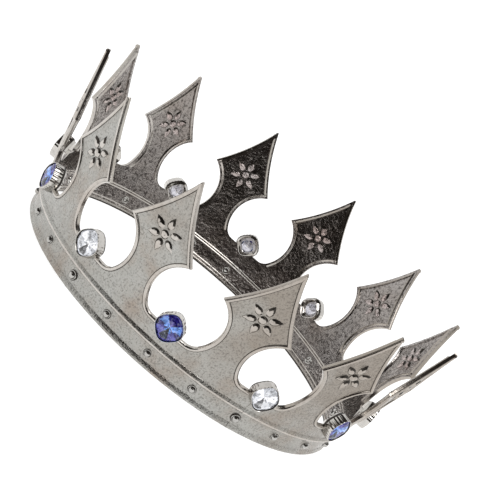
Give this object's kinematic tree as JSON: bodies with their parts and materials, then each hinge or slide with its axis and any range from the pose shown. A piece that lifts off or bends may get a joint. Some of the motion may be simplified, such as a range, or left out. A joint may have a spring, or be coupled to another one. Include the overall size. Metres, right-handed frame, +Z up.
{
  "type": "full-round pointed crown",
  "caption": "Rigid full-round crown: a flared, pierced metal wall of spearhead points with a flower on each, and square cut stones standing on their corners between the points.",
  "frame": {"origin": "middle of the circle that the bottom edge rests on", "axes": "+Z up through the middle of the crown, -Y towards the front stone, +X to the wearer's left"},
  "size_m": [0.206, 0.206, 0.0784],
  "materials": {
    "wall_metal": "antiqued silver plate, softly hammered, darkened in the recesses and inside",
    "stud_metal": "antiqued silver plate, domes rubbed bright",
    "setting_metal": "bright silver plate, darkened in the corners",
    "blue_glass": "faceted sapphire-blue glass, backed bright",
    "clear_glass": "faceted clear glass, backed bright"
  },
  "bodies": {
    "root": {"panel_1": "wall_metal", "panel_2": "wall_metal", "panel_3": "wall_metal", "panel_4": "wall_metal", "panel_5": "wall_metal", "panel_6": "wall_metal", "joint_rivet_1": "stud_metal", "joint_rivet_2": "stud_metal", "joint_rivet_3": "stud_metal", "joint_rivet_4": "stud_metal", "joint_rivet_5": "stud_metal", "joint_rivet_6": "stud_metal", "band_studs_1": "stud_metal", "band_studs_2": "stud_metal", "band_studs_3": "stud_metal", "band_studs_4": "stud_metal", "band_studs_5": "stud_metal", "band_studs_6": "stud_metal", "setting_1": "setting_metal", "setting_2": "setting_metal", "setting_3": "setting_metal", "setting_4": "setting_metal", "setting_5": "setting_metal", "setting_6": "setting_metal", "setting_7": "setting_metal", "setting_8": "setting_metal", "setting_9": "setting_metal", "setting_10": "setting_metal", "setting_11": "setting_metal", "setting_12": "setting_metal", "blue_stone_1": "blue_glass", "blue_stone_2": "blue_glass", "blue_stone_3": "blue_glass", "blue_stone_4": "blue_glass", "blue_stone_5": "blue_glass", "blue_stone_6": "blue_glass", "clear_stone_1": "clear_glass", "clear_stone_2": "clear_glass", "clear_stone_3": "clear_glass", "clear_stone_4": "clear_glass", "clear_stone_5": "clear_glass", "clear_stone_6": "clear_glass"}
  },
  "joints": []
}
